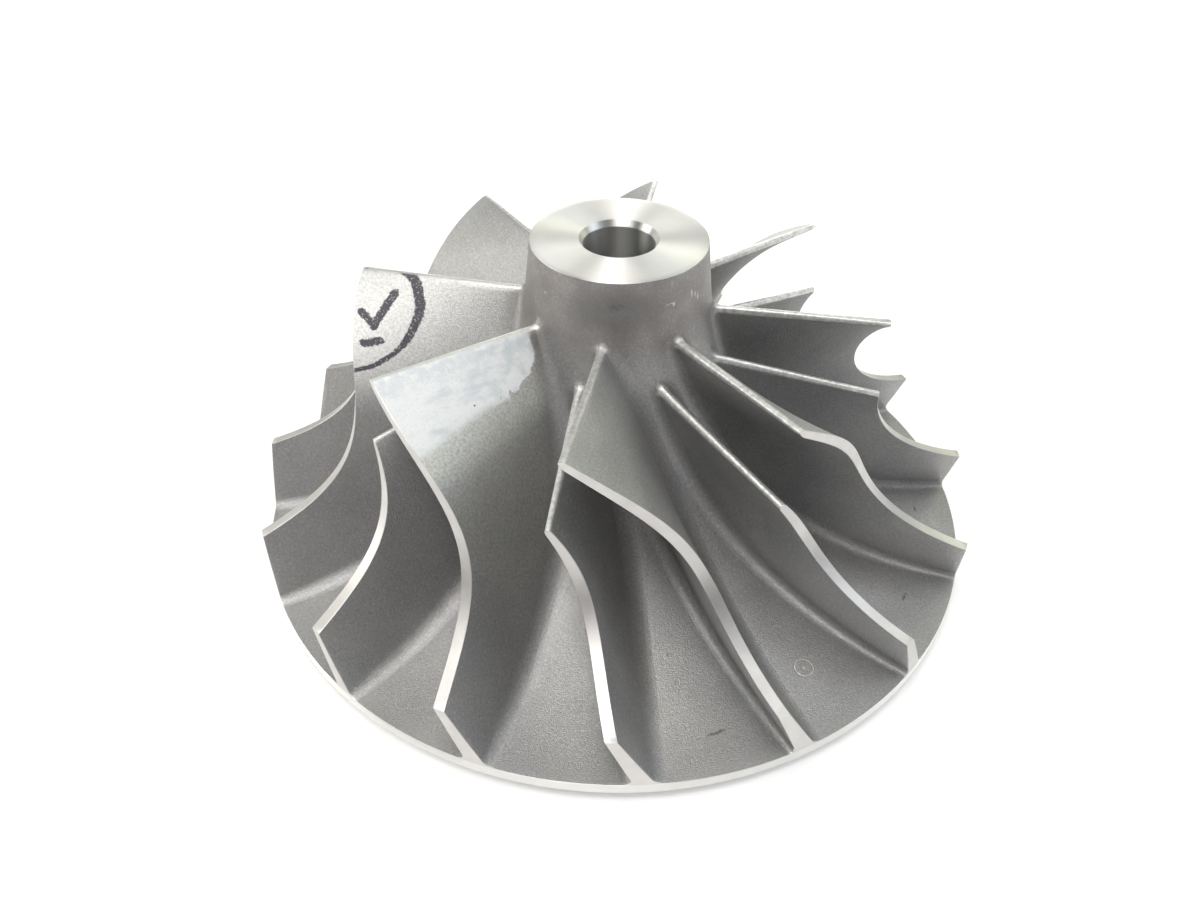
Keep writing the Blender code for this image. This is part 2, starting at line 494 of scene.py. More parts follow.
    def levels(self) -> list[Level]:
        """Lists the levels from the sunk foot, up the fillet and the span, to the tip.

        Returns:
            The levels, the last two with the tip's broken edge between them.
        """
        turns = np.linspace(0.0, RIGHT_ANGLE, self.fillet_steps + 1)
        found = [Level(-self.sunk)]
        found += [Level(1.0 - math.cos(turn)) for turn in turns]
        found += [Level(1.0, step / self.span_steps) for step in range(1, self.span_steps)]
        return found + [Level(1.0, 1.0 - self.edge_share), Level(1.0, 1.0, self.edge_break)]

    def corner(self) -> int:
        """Number of the exit corner on a level's line."""
        return self.nose_steps + self.side_steps

    def count(self) -> int:
        """How many points a level's line has."""
        return 2 * (self.corner() + self.exit_steps + 1)


@dataclass
class BladeMaker:
    """Models one kind of blade and copies it round the axis."""

    kind: BladeKind
    form: BladeForm
    slot: Slot
    offset: float = 0.0
    smooth_angle: float = 25.0

    def model(self) -> Piece:
        """Extrudes the blade level by level and closes its foot and its tip.

        Returns:
            The blade at angle 0, with its finishes' numbers on its faces.
        """
        levels = self.form.levels()
        top = len(levels) - 1
        piece = start_ring(self.kind.value, self.form.ring(levels[0]))
        for number, level in enumerate(levels[1:], 1):
            extrude_ring(piece, self.form.ring(level), number)
        self.close_ends(piece, top)
        self.mark_skins(piece, top)
        self.write_places(piece, levels)
        finish_mesh(piece, self.smooth_angle)
        return piece

    def close_ends(self, piece: Piece, top: int) -> None:
        """Lays strips of faces between the two sides, at the foot and at the tip.

        Args:
            piece: the blade, in edit mode.
            top: the number of the last level.
        """
        shape, spot, height = open_shape(piece)
        count = self.form.count()
        for level in (0, top):
            ring = {vertex[spot]: vertex for vertex in shape.verts if vertex[height] == level}
            for number in range(count // 2):
                corners = (number, number + 1, count - number - 1, count - number)
                vertices = [ring[corner % count] for corner in corners]
                shape.faces.new(list(dict.fromkeys(vertices)))
        bmesh.update_edit_mesh(piece.data)

    def mark_skins(self, piece: Piece, top: int) -> None:
        """Gives the tip strip and the exit face the turned finish, and the rest the cast one.

        Args:
            piece: the blade, in edit mode.
            top: the number of the last level.
        """
        shape, spot, height = open_shape(piece)
        corner = self.form.corner()
        far_corner = self.form.count() - corner
        for face in shape.faces:
            at_exit = all(corner <= vertex[spot] <= far_corner for vertex in face.verts)
            at_tip = all(vertex[height] >= top - 1 for vertex in face.verts)
            face.material_index = (Skin.TURNED if at_exit or at_tip else Skin.CAST).value
        bmesh.update_edit_mesh(piece.data)

    def write_places(self, piece: Piece, levels: Sequence[Level]) -> None:
        """Stores each vertex's place on the sheet as an attribute, for paint and ink.

        The place is the distance from the leading edge, the height above the hub,
        negative on the side behind the sheet, and the distance from the tip.

        Args:
            piece: the blade, in edit mode.
            levels: its levels.
        """
        shape, spot, height = open_shape(piece)
        place = shape.verts.layers.float_vector.new("place")
        count = self.form.count()
        chord = self.form.chord()
        walks = [self.form.half_outline(level)[0] for level in levels]
        climbs = [self.form.across(walk, level) for walk, level in zip(walks, levels)]
        spans = [self.form.span(walk) for walk in walks]
        for vertex in shape.verts:
            number, level = vertex[spot], vertex[height]
            behind = number > count // 2
            half = count - number if behind else number
            up = climbs[level][half] * spans[level][half]
            side = -1.0 if behind else 1.0
            vertex[place] = (walks[level][half] * chord, side * up, spans[level][half] - up)
        bmesh.update_edit_mesh(piece.data)

    def build(self, finishes: Callable[[int], Sequence[Material]]) -> None:
        """Models the blade once and makes its copies, each with its own mesh.

        Args:
            finishes: gives the cast and turned materials of the blade with a number.
        """
        pattern = self.model()
        sizes = self.form.sizes
        for number in range(sizes.blade_pairs):
            select_only(pattern)
            bpy.ops.object.duplicate()
            blade = bpy.context.object
            node = f"{self.kind.value}_{number + 1}"
            blade.name = blade.data.name = f"{node}_casting"
            turn = sizes.first_blade_angle + 360.0 / sizes.blade_pairs * (number + self.offset)
            blade.data.transform(Matrix.Rotation(math.radians(turn), 4, "Z"))
            for material in finishes(number + 1):
                blade.data.materials.append(material)
            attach(blade, BODY)
            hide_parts(node)
            LOG.info("blade %s: %d faces", blade.name, len(blade.data.polygons))
        bpy.data.objects.remove(pattern)


@dataclass
class Hub:
    """The turned middle of the wheel: nose, flared body, disc, rear boss and bore.

    Steps are how many straight pieces a stretch of the outline is cut into. nose_skin
    and bore_skin are how far the turned finish starts below the nose's top and inside
    its side, in edge breaks. The dimple is squashed in height, and it ends at
    dimple_end reaches from its middle and dimple_skin away from the nose's side.
    """

    sizes: WheelSizes
    edge_break: float = 0.06 * MM
    lip_break: float = 0.03 * MM
    mouth_width: float = 0.46 * MM
    mouth_depth: float = 0.68 * MM
    turn_steps: int = 256
    face_steps: int = 8
    edge_steps: int = 4
    side_steps: int = 19
    curve_steps: int = 60
    back_steps: int = 11
    fillet_steps: int = 6
    boss_steps: int = 4
    bore_steps: int = 15
    edge_arc: Span = (90.0, 5.0)
    fillet_arc: Span = (90.0, 180.0)
    nose_skin: float = 0.6
    bore_skin: float = 2.0
    dimple_angle: float = -91.0
    dimple_height: float = 35.9 * MM
    dimple_reach: float = 1.1 * MM
    dimple_depth: float = 0.12 * MM
    dimple_squash: float = 2.0
    dimple_end: float = 3.0
    dimple_skin: float = 1.0 * MM
    smooth_angle: float = 28.0

    def arc(self, centre: Span, radius: float, angles: Span, steps: int) -> list[Span]:
        """Lists points on an arc in the plane of radius and height, with angles in degrees."""
        turns = np.radians(np.linspace(*angles, steps + 1))
        return [(centre[0] + radius * math.cos(t), centre[1] + radius * math.sin(t)) for t in turns]

    def outline(self) -> np.ndarray:
        """Walks the closed outline, from the top of the bore out and down its outer side.

        Returns:
            Points at angle 0, one row each.
        """
        s = self.sizes
        edge, lip, chamfer = self.edge_break, self.lip_break, s.bore_chamfer
        mouth = s.bore_radius + self.mouth_width
        face = np.linspace(mouth, s.nose_radius - edge, self.face_steps + 1)
        line = [(radius, s.nose_top) for radius in face[:-1]]
        centre = (s.nose_radius - edge, s.nose_top - edge)
        line += self.arc(centre, edge, self.edge_arc, self.edge_steps)
        side = np.linspace(s.nose_top - edge, s.hub_inlet_height, self.side_steps + 1)
        line += [(s.nose_radius + (s.nose_top - up) * s.taper(), up) for up in side[1:-1]]
        radii, heights = s.hub_curve().at(np.linspace(0.0, 1.0, self.curve_steps + 1))
        line += [point for point in zip(radii, heights) if point[0] < s.rim_radius - lip]
        line += [(s.rim_radius - lip, s.rim_top()), (s.rim_radius, s.rim_top() - lip)]
        line += [(s.rim_radius, s.disc_bottom + s.rim_thickness / 2.0)]
        line += [(s.rim_radius, s.disc_bottom + edge), (s.rim_radius - edge, s.disc_bottom)]
        foot = s.boss_radius + s.boss_fillet
        back = np.linspace(s.rim_radius - edge, foot, self.back_steps + 1)
        line += [(radius, s.disc_bottom) for radius in back[1:-1]]
        centre = (foot, s.disc_bottom - s.boss_fillet)
        line += self.arc(centre, s.boss_fillet, self.fillet_arc, self.fillet_steps)
        line += [(s.boss_radius, edge), (s.boss_radius - edge, 0.0)]
        boss = np.linspace(s.boss_radius - edge, s.bore_radius + chamfer, self.boss_steps + 1)
        line += [(radius, 0.0) for radius in boss[1:]]
        bore = np.linspace(chamfer, s.nose_top - self.mouth_depth, self.bore_steps + 1)
        line += [(s.bore_radius, height) for height in bore]
        return np.array([(radius, 0.0, height) for radius, height in line])

    def build(self, finishes: Sequence[Material]) -> None:
        """Spins the outline round the axis, presses the dimple and dresses the hub.

        Args:
            finishes: the cast and turned materials.
        """
        piece = start_ring("hub_casting", self.outline())
        bpy.ops.mesh.spin(
            steps=self.turn_steps, angle=math.tau, center=(0.0, 0.0, 0.0), axis=(0.0, 0.0, 1.0)
        )
        merge_doubles()
        self.press_dimple(piece)
        self.mark_skins(piece)
        finish_mesh(piece, self.smooth_angle)
        for material in finishes:
            piece.data.materials.append(material)
        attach(piece, BODY)
        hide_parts("hub")
        LOG.info("hub: %d faces", len(piece.data.polygons))

    def press_dimple(self, piece: Piece) -> None:
        """Presses a shallow dimple into the nose's side, as the casting has.

        Args:
            piece: the hub, in edit mode.
        """
        shape = bmesh.from_edit_mesh(piece.data)
        outward = around_axis(1.0, self.dimple_angle, 0.0)
        centre = outward * self.sizes.nose_radius
        centre.z = self.dimple_height
        for vertex in shape.verts:
            gap = vertex.co - centre
            out = gap.dot(outward)
            flat = math.hypot(gap.z * self.dimple_squash, (gap - outward * out).xy.length)
            if abs(out) < self.dimple_skin and flat < self.dimple_end * self.dimple_reach:
                fall = math.exp(-((flat / self.dimple_reach) ** 2))
                vertex.co -= outward * self.dimple_depth * fall
        bmesh.update_edit_mesh(piece.data)

    def mark_skins(self, piece: Piece) -> None:
        """Gives the nose's face, bore, rim, rear face and boss the turned finish.

        Args:
            piece: the hub, in edit mode.
        """
        s = self.sizes
        shape = bmesh.from_edit_mesh(piece.data)
        for face in shape.faces:
            middle = face.calc_center_median()
            radius = middle.xy.length
            turned = (
                middle.z > s.nose_top - self.nose_skin * self.edge_break
                or radius < s.nose_radius - self.bore_skin * self.edge_break
                or middle.z < s.disc_bottom + self.edge_break
                or radius > s.rim_radius - self.lip_break
            )
            face.material_index = (Skin.TURNED if turned else Skin.CAST).value
        bmesh.update_edit_mesh(piece.data)


class Wire:
    """A number inside a material, with Python's operators for its maths."""

    def __init__(self, graph: Graph, socket: Socket) -> None:
        """Wraps an output socket of a node in a graph."""
        self.graph = graph
        self.socket = socket

    def __add__(self, other: Number) -> Wire:
        """Adds."""
        return self.graph.maths("ADD", self, other)

    __radd__ = __add__

    def __sub__(self, other: Number) -> Wire:
        """Subtracts from this."""
        return self.graph.maths("SUBTRACT", self, other)

    def __rsub__(self, other: Number) -> Wire:
        """Subtracts this."""
        return self.graph.maths("SUBTRACT", other, self)

    def __mul__(self, other: Number) -> Wire:
        """Multiplies."""
        return self.graph.maths("MULTIPLY", self, other)

    __rmul__ = __mul__

    def __truediv__(self, other: Number) -> Wire:
        """Divides this."""
        return self.graph.maths("DIVIDE", self, other)

    def step(self, low: float, high: float) -> Wire:
        """Rises smoothly from 0 at low to 1 at high, or falls if low is the larger."""
        settings = {"interpolation_type": "SMOOTHSTEP"}
        sockets = {"Value": self, "From Min": low, "From Max": high}
        return self.graph.number("ShaderNodeMapRange", settings, sockets)

    def magnitude(self) -> Wire:
        """Its size without its sign."""
        return self.graph.maths("ABSOLUTE", self, 0.0)

    def least(self, other: Number) -> Wire:
        """The smaller of the two."""
        return self.graph.maths("MINIMUM", self, other)

    def most(self, other: Number) -> Wire:
        """The larger of the two."""
        return self.graph.maths("MAXIMUM", self, other)


Place = tuple[Wire, Wire, Wire]


class Graph:
    """A material's nodes."""

    def __init__(self, name: str) -> None:
        """Starts an empty material."""
        self.material = bpy.data.materials.new(name)
        self.material.use_nodes = True
        self.tree = self.material.node_tree
        self.tree.nodes.clear()
        self.place = self.node("ShaderNodeTexCoord").outputs["Object"]

    def node(
        self, kind: str, settings: dict | None = None, sockets: dict | None = None
    ) -> bpy.types.Node:
        """Makes a node.

        Args:
            kind: the node's type.
            settings: properties to set first.
            sockets: values, wires or sockets for the inputs, by name or number.

        Returns:
            The node.
        """
        node = self.tree.nodes.new(kind)
        for key, value in (settings or {}).items():
            setattr(node, key, value)
        for key, value in (sockets or {}).items():
            if isinstance(value, Wire):
                value = value.socket
            if isinstance(value, Socket):
                self.tree.links.new(value, node.inputs[key])
            else:
                node.inputs[key].default_value = value
        return node

    def number(self, kind: str, settings: dict, sockets: dict, output: int = 0) -> Wire:
        """Makes a node and wraps one of its outputs as a number."""
        return Wire(self, self.node(kind, settings, sockets).outputs[output])

    def maths(self, operation: str, first: Number, second: Number) -> Wire:
        """Adds a Math node."""
        return self.number("ShaderNodeMath", {"operation": operation}, {0: first, 1: second})

    def length(self, east: Wire, north: Wire) -> Wire:
        """Works out how long a step is from its two parts."""
        return self.maths("SQRT", east * east + north * north, 0.0)

    def noise(self, size: float, detail: float = 2.0) -> Wire:
        """Noise from 0 to 1 whose lumps are about the given size across, in metres."""
        sockets = {"Vector": self.place, "Scale": 1.0 / size, "Detail": detail}
        return self.number("ShaderNodeTexNoise", {}, sockets)

    def sheet_noise(self, width: float, length: float, detail: float) -> Wire:
        """Noise from 0 to 1 on a blade, in streaks that run from its root to its tip.

        Args:
            width: a streak's width, in metres.
            length: a streak's length, in metres.
            detail: how many finer layers are added.

        Returns:
            The noise.
        """
        stretch = {"Vector": self.sheet(), "Scale": (1.0 / width, 0.0, 1.0 / length)}
        scaled = self.node("ShaderNodeMapping", {}, stretch)
        sockets = {"Vector": scaled.outputs[0], "Scale": 1.0, "Detail": detail}
        return self.number("ShaderNodeTexNoise", {}, sockets)

    def sheet(self) -> Socket:
        """The attribute that holds each point's place on its blade."""
        return self.node("ShaderNodeAttribute", {"attribute_name": "place"}).outputs[1]

    def sheet_place(self) -> Place:
        """A blade's own place: from its leading edge, up from the hub, and from its tip."""
        return self.parts(self.sheet())

    def stroke(self, place: tuple[Wire, Wire], start: Span, end: Span) -> Wire:
        """Distance from a straight line between two points.

        Args:
            place: where on the surface, as two numbers.
            start: one end of the line.
            end: its other end.

        Returns:
            The distance.
        """
        run = (end[0] - start[0], end[1] - start[1])
        east, north = place[0] - start[0], place[1] - start[1]
        share = ((east * run[0] + north * run[1]) / (run[0] ** 2 + run[1] ** 2)).most(0.0).least(1.0)
        return self.length(east - share * run[0], north - share * run[1])

    def mix(self, share: Number, first: object, second: object) -> Socket:
        """Mixes two colours, each a colour or a socket."""
        sockets = {0: share, 6: self.colour(first), 7: self.colour(second)}
        return self.node("ShaderNodeMix", {"data_type": "RGBA"}, sockets).outputs[2]

    def coats(self, colour: object, *coats: tuple[Number, object]) -> Socket:
        """Lays colours over a first one, each by its own share.

        Args:
            colour: the first colour, or its socket.
            coats: the share and the colour of each coat.

        Returns:
            The mixed colour.
        """
        for share, tone in coats:
            colour = self.mix(share, colour, tone)
        return colour

    @staticmethod
    def colour(value: object) -> object:
        """Gives a plain colour its alpha, and leaves a socket as it is."""
        return value if isinstance(value, Socket) else (*value, 1.0)

    def parts(self, vector: Socket) -> Place:
        """Splits a vector into its numbers."""
        outputs = self.node("ShaderNodeSeparateXYZ", {}, {0: vector}).outputs
        return Wire(self, outputs[0]), Wire(self, outputs[1]), Wire(self, outputs[2])

    def axis_radius(self) -> Wire:
        """Distance from the shaft axis."""
        east, north, _ = self.parts(self.place)
        return self.length(east, north)

    def bump(self, height: Wire, distance: float, under: Socket | None = None) -> Socket:
        """Turns a height into a normal.

        Args:
            height: the height, from 0 to 1.
            distance: how high 1 stands, in metres.
            under: the normal of another bump under this one, if there is one.

        Returns:
            The normal.
        """
        sockets = {"Height": height, "Distance": distance, "Strength": 1.0}
        if under is not None:
            sockets["Normal"] = under
        return self.node("ShaderNodeBump", {}, sockets).outputs[0]

    def finish(self, sockets: dict) -> Material:
        """Makes the shader from its sockets and links it to the material's output."""
        shader = self.node("ShaderNodeBsdfPrincipled", {}, sockets)
        self.node("ShaderNodeOutputMaterial", {}, {"Surface": shader.outputs[0]})
        return self.material


@dataclass(frozen=True)
class Patches:
    """Soft patches of noise.

    size is how wide their lumps are in metres, and detail how many finer layers are
    added. A patch starts where the noise has one value and is full at the other.
    least is the mask outside the patches, and more is what a patch adds to it.
    """

    size: float
    detail: float
    start: float
    full: float
    more: float = 1.0
    least: float = 0.0

    def mask(self, graph: Graph) -> Wire:
        """The patches as a mask."""
        patch = graph.noise(self.size, self.detail).step(self.start, self.full)
        return patch * self.more + self.least


@dataclass(frozen=True)
class Shake:
    """Unevenness of a line: noise that moves it by up to half the reach to each side."""

    size: float
    detail: float
    reach: float

    def offset(self, graph: Graph) -> Wire:
        """How far the line is moved."""
        return (graph.noise(self.size, self.detail) - 0.5) * self.reach


@dataclass(frozen=True)
class Specks:
    """Scattered round specks.

    spacing is the width of the cells that hold one speck at most, share the share of
    them that hold one, and core the share of a speck's radius where it is full.
    """

    spacing: float
    radius: float
    share: float
    core: float = 0.6

    def mask(self, graph: Graph) -> Wire:
        """Draws the specks.

        Args:
            graph: the material's nodes.

        Returns:
            A mask that is 1 inside a speck.
        """
        sockets = {"Vector": graph.place, "Scale": 1.0 / self.spacing}
        cells = graph.node("ShaderNodeTexVoronoi", {}, sockets)
        reach = self.radius / self.spacing
        near = Wire(graph, cells.outputs[0]).step(reach, self.core * reach)
        chance, _, _ = graph.parts(cells.outputs[1])
        return near * graph.maths("LESS_THAN", chance, self.share)


@dataclass(frozen=True)
class Mark:
    """A small soft mark on the hub, shaped as an ellipsoid, with lengths in millimetres.

    reach holds its half sizes outwards, round the axis and along it, and core the
    share of them where it is full.
    """

    angle: float
    radius: float
    height: float
    reach: tuple[float, float, float]
    colour: Colour
    core: float = 0.3

    def mask(self, graph: Graph) -> Wire:
        """Draws the mark.

        Args:
            graph: the material's nodes.

        Returns:
            A mask that is 1 in the middle of the mark.
        """
        sockets = {
            "Vector": graph.place,
            "Location": around_axis(self.radius * MM, self.angle, self.height * MM),
            "Rotation": (0.0, 0.0, math.radians(self.angle)),
            "Scale": [length * MM for length in self.reach],
        }
        local = graph.node("ShaderNodeMapping", {"vector_type": "TEXTURE"}, sockets).outputs[0]
        away = graph.number("ShaderNodeVectorMath", {"operation": "LENGTH"}, {0: local}, 1)
        return away.step(1.0, self.core)


@dataclass(frozen=True)
class CastSkin:
    """Blasted casting skin: satin grey with a fine sparkling grain, browner round the nose.

    A span holds where something starts and where it is full: a height or a distance
    from the axis for the nose, a value of the grain's noise for glints and pits, and a
    place on the blade for the leading edge's bright band, which is wear and also a
    painted highlight, and for the painted sheen on blade faces.
    """

    light: Colour = (0.475, 0.475, 0.470)
    dark: Colour = (0.415, 0.415, 0.420)
    shades: Patches = Patches(9.0 * MM, 3.0, 0.35, 0.65)
    warm: Colour = (0.450, 0.430, 0.420)
    warm_patches: Patches = Patches(5.0 * MM, 2.0, 0.5, 0.7, 0.5)
    glint: Colour = (0.80, 0.80, 0.79)
    glint_span: Span = (0.50, 0.78)
    glints: Specks = Specks(5.2 * MM, 0.09 * MM, 0.03)
    pit: Colour = (0.20, 0.195, 0.20)
    pit_span: Span = (0.50, 0.22)
    pits: Specks = Specks(4.3 * MM, 0.10 * MM, 0.03)
    pits_share: float = 0.7
    nose_tone: Colour = (0.310, 0.291, 0.283)
    nose_heights: Span = (26.0 * MM, 33.0 * MM)
    nose_radii: Span = (15.5 * MM, 12.5 * MM)
    nose_patches: Patches = Patches(2.2 * MM, 3.0, 0.25, 0.75, 0.4, 0.6)
    metallic: float = 0.85
    roughness: float = 0.52
    speckle: float = 0.26 * MM
    sparkle: float = 0.34
    sparkle_lost: float = 0.22
    grain: float = 0.13 * MM
    grain_depth: float = 0.05 * MM
    grain_span: Span = (0.5, 0.8)
    grain_gloss: float = 0.12
    coarse: float = 0.7 * MM
    coarse_depth: float = 0.005 * MM
    coarse_gloss: float = 0.08
    swell: float = 3.5 * MM
    swell_depth: float = 0.015 * MM
    # The leading edge's bright band is worn metal and also a painted highlight, with more painted
    # highlight near the root.
    edge_wear_and_highlight: Colour = (0.95, 0.95, 0.935)
    edge_gloss: float = 0.12
    edge_patches: Patches = Patches(0.5 * MM, 2.0, 0.3, 0.7, 0.45, 0.45)
    wear_and_highlight_middle: float = 0.12 * MM
    wear_and_highlight_band: Span = (0.42 * MM, 0.168 * MM)
    wear_and_highlight_root: Span = (0.21 * MM, 0.7 * MM)
    root_highlight: Span = (2.6 * MM, 0.9 * MM)
    root_highlight_share: float = 0.1
    # Heights above the hub where the painted sheen on the painted and marked blades starts and is
    # full.
    sheen_root: Span = (0.5 * MM, 3.0 * MM)

    def near_nose(self, graph: Graph) -> Wire:
        """Finds the browner skin.

        Args:
            graph: the material's nodes.

        Returns:
            A patchy mask that is 1 round the nose.
        """
        _, _, height = graph.parts(graph.place)
        close = graph.axis_radius().step(*self.nose_radii)
        return height.step(*self.nose_heights) * close * self.nose_patches.mask(graph)

    def surface(self, graph: Graph) -> dict:
        """Makes the skin.

        Args:
            graph: the material's nodes.

        Returns:
            Colour, roughness, normal and metallic, for a shader's sockets.
        """
        grain = graph.noise(self.grain, 1.0)
        coarse = graph.noise(self.coarse)
        speckle = graph.noise(self.speckle)
        near_nose = self.near_nose(graph)
        sparkle = self.sparkle - near_nose * self.sparkle_lost
        colour = graph.coats(
            self.dark,
            (self.shades.mask(graph), self.light),
            (self.warm_patches.mask(graph), self.warm),
            (near_nose, self.nose_tone),
            (speckle.step(*self.glint_span) * sparkle, self.glint),
            (speckle.step(*self.pit_span) * sparkle, self.pit),
            (self.glints.mask(graph), self.glint),
            (self.pits.mask(graph) * self.pits_share, self.pit),
        )
        rough = self.roughness + (coarse - 0.5) * self.coarse_gloss
        rough = rough - grain.step(*self.grain_span) * self.grain_gloss
        normal = graph.bump(graph.noise(self.swell, 1.0), self.swell_depth)
        normal = graph.bump(coarse, self.coarse_depth, normal)
        normal = graph.bump(grain, self.grain_depth, normal)
        return {"Base Color": colour, "Roughness": rough, "Normal": normal, "Metallic": self.metallic}

    def blade_surface(self, graph: Graph) -> dict:
        """Makes the skin on a blade, with a bright band along its leading edge that is wear and also
        a painted highlight.

        Args:
            graph: the material's nodes.

        Returns:
            Colour, roughness, normal and metallic, for a shader's sockets.
        """
        sockets = self.surface(graph)
        from_edge, side, _ = graph.sheet_place()
        up = side.magnitude()
        # A bright band along the leading edge: wear and also a painted highlight, stronger near the
        # root.
        patchy = self.edge_patches.mask(graph) + up.step(*self.root_highlight) * self.root_highlight_share
        wear_and_sheen = (from_edge - self.wear_and_highlight_middle).magnitude().step(*self.wear_and_highlight_band)
        wear_and_sheen = wear_and_sheen * up.step(*self.wear_and_highlight_root) * patchy
        sockets["Base Color"] = graph.mix(wear_and_sheen, sockets["Base Color"], self.edge_wear_and_highlight)
        sockets["Roughness"] = sockets["Roughness"] - wear_and_sheen * self.edge_gloss
        return sockets

    def material(self, name: str) -> Material:
        """The plain skin of a blade as a material."""
        graph = Graph(name)
        return graph.finish(self.blade_surface(graph))


@dataclass(frozen=True)
class ScribedRing:
    """A small ring with a dot in it, scribed into the hub's skin.

    line and dot hold the distances where each starts and where it is full.
    """

    angle: float = -55.2
    radius: float = 35.45 * MM
    height: float = 3.15 * MM
    reach: float = 1.0 * MM
    line: Span = (0.112 * MM, 0.042 * MM)
    dot: Span = (0.208 * MM, 0.112 * MM)
    shake: Shake = Shake(0.5 * MM, 1.0, 0.15 * MM)

    def mask(self, graph: Graph) -> Wire:
        """Draws the ring and its dot.

        Args:
            graph: the material's nodes.

        Returns:
            A mask that is 1 where the skin is scribed.
        """
        ends = {0: graph.place, 1: around_axis(self.radius, self.angle, self.height)}
        away = graph.number("ShaderNodeVectorMath", {"operation": "DISTANCE"}, ends, 1)
        ring = (away + self.shake.offset(graph) - self.reach).magnitude().step(*self.line)
        return ring.most(away.step(*self.dot))


@dataclass(frozen=True)
class HubSkin:
    """The casting skin on the hub, with the small marks that it carries, and painted shade on the
    front of the nose's side and in its dimple.
    """

    skin: CastSkin = CastSkin()
    scribed: ScribedRing = ScribedRing()
    scribed_depth: float = 0.03 * MM
    worn: Patches = Patches(0.35 * MM, 2.0, 0.25, 0.6, 0.75)
    dimple_shade: Colour = (0.17, 0.165, 0.178)
    nick: Colour = (0.85, 0.85, 0.83)
    streak: Colour = (0.11, 0.11, 0.115)
    # Painted shade: a darker patch on the front of the nose's side, below its top.
    darker_tone: Mark = Mark(-93.0, 9.94, 35.4, (3.0, 8.0, 3.6), (0.19, 0.185, 0.182))
    shade_share: float = 0.6
    marks: tuple[Mark, ...] = (
        # Painted shade in the nose's dimple.
        Mark(-91.5, 9.94, 35.93, (1.5, 1.25, 0.55), dimple_shade),
        Mark(-140.6, 9.98, 35.57, (0.6, 0.35, 0.14), nick),
        Mark(-58.3, 9.98, 35.62, (0.6, 0.75, 0.11), nick),
        Mark(-55.9, 9.98, 35.45, (0.6, 0.22, 0.28), nick),
        Mark(-41.0, 9.97, 35.69, (0.6, 0.19, 0.60), nick),
        Mark(-37.6, 10.0, 35.40, (0.6, 0.14, 0.50), nick),
        Mark(-34.8, 10.05, 34.96, (0.6, 0.19, 0.55), nick),
        Mark(-74.9, 38.51, 2.78, (0.26, 1.1, 0.6), streak),
        Mark(-73.6, 38.40, 2.78, (0.28, 0.6, 0.6), streak),
        Mark(-78.6, 29.26, 4.63, (0.22, 0.5, 0.6), streak),
        Mark(-5.2, 38.37, 2.80, (0.20, 0.8, 0.6), streak),
        Mark(-28.9, 38.23, 2.81, (0.22, 1.0, 0.6), streak),
    )

    def material(self, name: str) -> Material:
        """Makes the skin.

        Args:
            name: the material's name.

        Returns:
            The material.
        """
        graph = Graph(name)
        sockets = self.skin.surface(graph)
        worn = self.worn.mask(graph)
        scribed = self.scribed.mask(graph)
        sockets["Base Color"] = graph.coats(
            sockets["Base Color"],
            # Painted shade on the front of the nose's side, then the marks, among them painted shade
            # in the dimple.
            (self.darker_tone.mask(graph) * self.shade_share, self.darker_tone.colour),
            *((mark.mask(graph) * worn, mark.colour) for mark in self.marks),
            (scribed * worn, self.nick),
        )
        sockets["Normal"] = graph.bump(1.0 - scribed, self.scribed_depth, sockets["Normal"])
        return graph.finish(sockets)


